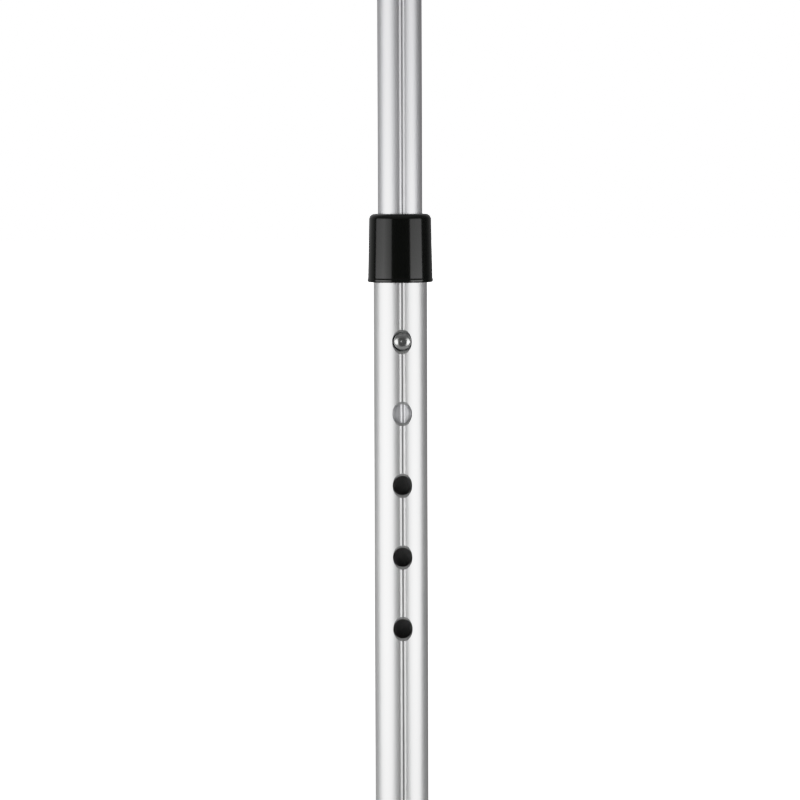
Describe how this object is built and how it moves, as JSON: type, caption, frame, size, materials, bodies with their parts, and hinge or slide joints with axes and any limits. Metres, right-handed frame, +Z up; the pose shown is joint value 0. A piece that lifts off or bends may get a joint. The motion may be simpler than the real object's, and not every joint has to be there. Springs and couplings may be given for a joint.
{
  "type": "quad walking cane",
  "caption": "Height-adjustable walking cane: grooved telescopic aluminium shaft, snap-button locks, offset handle, and a four-legged steel base on rubber tips.",
  "frame": {"origin": "on the floor, in the middle of the four feet", "axes": "+Z up along the shaft, +X the walking direction, in which the grip points, +Y the user's side; the height holes face -Y"},
  "size_m": [0.203, 0.166, 0.914],
  "materials": {
    "aluminium": "satin clear anodised extrusion",
    "bright_steel": "polished chrome plate",
    "base_steel": "chrome plated steel tube",
    "spring_steel": "plain spring steel strip",
    "black_plastic": "glossy moulded",
    "grip_vinyl": "matte soft vinyl, fine pebble grain",
    "tip_rubber": "matte moulded rubber"
  },
  "bodies": {
    "base": {"base_socket": "base_steel", "socket_collar": "black_plastic", "socket_stop": "black_plastic", "leg_tube_inner": "base_steel", "leg_tube_outer": "base_steel", "frame_welds": "base_steel", "foot_tip_front_inner": "tip_rubber", "foot_tip_front_outer": "tip_rubber", "foot_tip_back_inner": "tip_rubber", "foot_tip_back_outer": "tip_rubber", "foot_washer_front_inner": "spring_steel", "foot_washer_front_outer": "spring_steel", "foot_washer_back_inner": "spring_steel", "foot_washer_back_outer": "spring_steel"},
    "shaft": {"lower_tube": "aluminium", "tube_collar": "black_plastic", "base_button_spring": "spring_steel"},
    "upper": {"upper_tube": "aluminium", "handle_grip": "grip_vinyl", "handle_end_cap": "black_plastic", "height_button_spring": "spring_steel"},
    "height_button": {"height_button": "bright_steel"},
    "base_button": {"base_button": "bright_steel"}
  },
  "joints": [
    {"name": "base_swivel", "type": "hinge", "parent": "base", "child": "shaft", "pos_m": [0, 0.0235, 0.072], "axis": [0, 0, 1], "range_deg": [0, 180], "deforming": ["base_button", "base_button_spring"]},
    {"name": "height_slide", "type": "slide", "parent": "shaft", "child": "upper", "axis": [0, 0, 1], "range_m": [-0.1016, 0], "deforming": ["height_button", "height_button_spring"]},
    {"name": "height_button_press", "type": "slide", "parent": "upper", "child": "height_button", "axis": [0, 1, 0], "range_m": [0, 0.0046], "stiffness_N_per_m": 2400, "springref_m": -0.001},
    {"name": "base_button_press", "type": "slide", "parent": "shaft", "child": "base_button", "axis": [0, 1, 0], "range_m": [0, 0.0042], "stiffness_N_per_m": 2400, "springref_m": -0.001}
  ]
}
